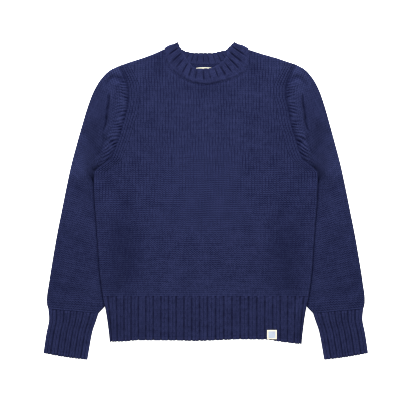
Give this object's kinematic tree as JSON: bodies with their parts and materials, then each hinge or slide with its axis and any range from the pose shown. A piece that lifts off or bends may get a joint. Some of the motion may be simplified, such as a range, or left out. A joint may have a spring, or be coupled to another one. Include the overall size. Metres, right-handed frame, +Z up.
{
  "type": "chunky knit crew-neck sweater",
  "caption": "Chunky knitted crew-neck pullover with set-in sleeves and ribbed neckband, cuffs and hem, laid flat on a surface with its sleeves beside the body",
  "frame": {"origin": "the middle of the laid-out garment's outline, on the surface that it lies on", "axes": "+X to the right across the garment as seen from above with the collar at the top, which is the wearer's left, +Y from the hem to the collar, +Z up from the surface, out of the front"},
  "size_m": [0.682, 0.666, 0.0138],
  "materials": {
    "wool_body": "matte chunky plain knit in navy wool",
    "wool_rib": "matte two-by-one rib knit in navy wool",
    "label_cloth": "matte woven tape in cream"
  },
  "bodies": {
    "root": {"front": "wool_body", "back": "wool_body", "sleeve_left": "wool_body", "sleeve_right": "wool_body", "front_rib": "wool_rib", "back_rib": "wool_rib", "cuff_left": "wool_rib", "cuff_right": "wool_rib", "collar": "wool_rib", "hem_label": "label_cloth", "neck_label": "label_cloth"}
  },
  "joints": []
}
